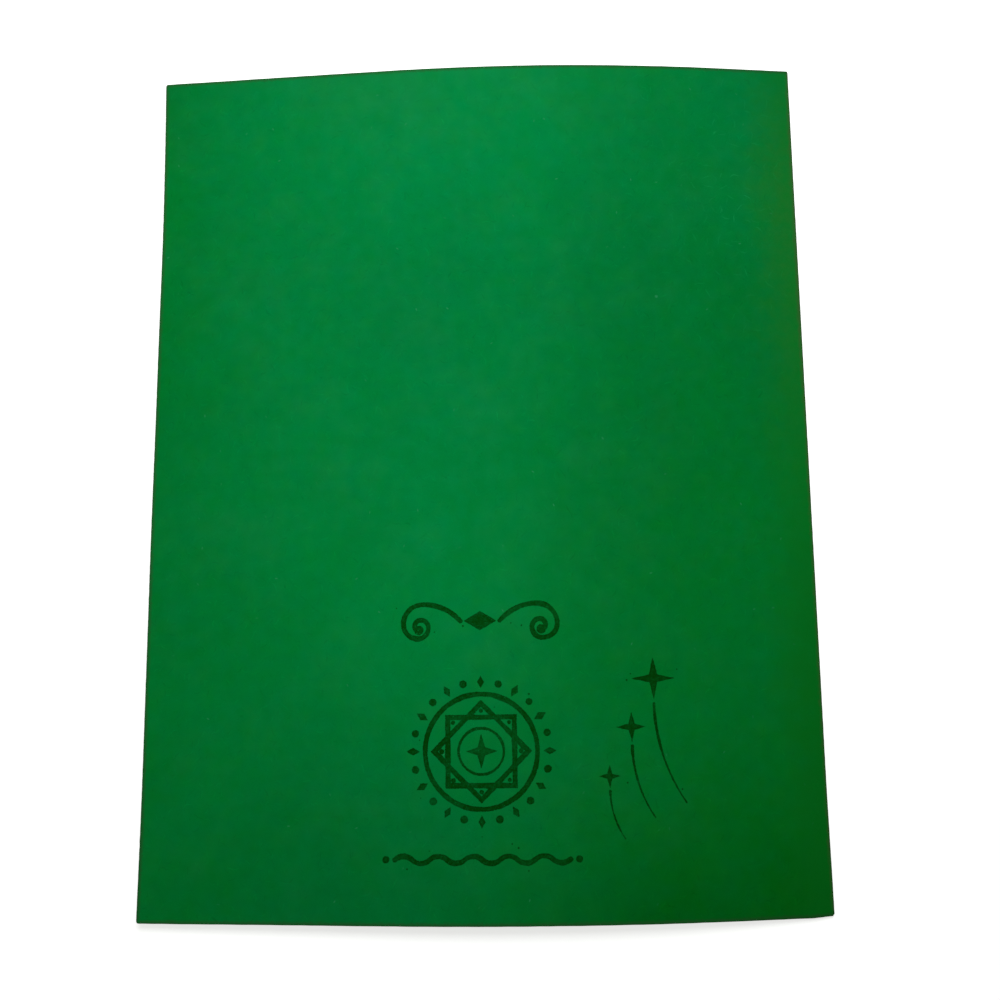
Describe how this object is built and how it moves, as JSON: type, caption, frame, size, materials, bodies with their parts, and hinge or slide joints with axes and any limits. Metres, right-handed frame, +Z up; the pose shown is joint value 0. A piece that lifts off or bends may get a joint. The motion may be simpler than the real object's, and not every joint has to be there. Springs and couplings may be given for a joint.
{
  "type": "greeting card",
  "caption": "Folded card-stock greeting card lying closed on its front cover, its back cover bowed slightly open and carrying a small stamped ornament.",
  "frame": {"origin": "middle of the card's footprint, on the surface that the card lies on", "axes": "+X towards the fold, +Y towards the card's top edge, +Z up from the front cover to the back cover"},
  "size_m": [0.108, 0.1396, 0.0056],
  "materials": {
    "green_card_stock": "matte",
    "dark_green_ink": "matte"
  },
  "bodies": {
    "root": {"folded_card": "green_card_stock", "stamped_ornament": "dark_green_ink"}
  },
  "joints": []
}
